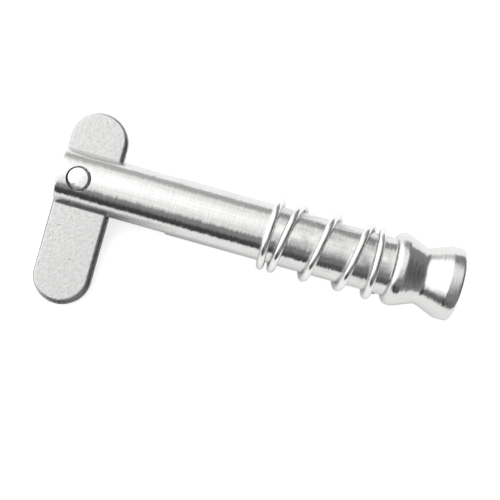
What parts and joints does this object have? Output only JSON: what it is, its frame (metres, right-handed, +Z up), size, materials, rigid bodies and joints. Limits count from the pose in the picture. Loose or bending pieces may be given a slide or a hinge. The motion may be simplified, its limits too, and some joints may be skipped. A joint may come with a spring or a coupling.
{
  "type": "quick-release pin",
  "caption": "Straight turned pin with a waisted thumb head, a coil spring on its shaft, and a flat toggle that pivots in its slotted tip and turns across to lock it.",
  "frame": {"origin": "on the surface that the pin lies on, under the middle of its length and of its toggle", "axes": "+X along the shaft towards the head, which is raised about 2 degrees; +Y towards the toggle's short end; +Z up"},
  "size_m": [0.0439, 0.0206, 0.0087],
  "materials": {
    "turned_steel": "turned and polished, with fine marks round the axis",
    "rivet_steel": "peened and polished",
    "tumbled_steel": "tumbled, matt and finely pebbled",
    "spring_steel": "bright drawn wire"
  },
  "bodies": {
    "pin": {"pin_body": "turned_steel", "pivot_rivet": "rivet_steel"},
    "toggle": {"drop_toggle": "tumbled_steel"},
    "spring": {"compression_spring": "spring_steel"}
  },
  "joints": [
    {"name": "toggle_pivot", "type": "hinge", "parent": "pin", "child": "toggle", "pos_m": [-0.01944, 0.00289, 0.00323], "axis": [0.0368, 0.1936, -0.9804], "range_deg": [-50, 235]},
    {"name": "spring_compression", "type": "slide", "parent": "pin", "child": "spring", "axis": [0.9993, 0, 0.0375], "range_m": [0, 0.008], "stiffness_N_per_m": 1800, "deforming": ["compression_spring"]}
  ]
}
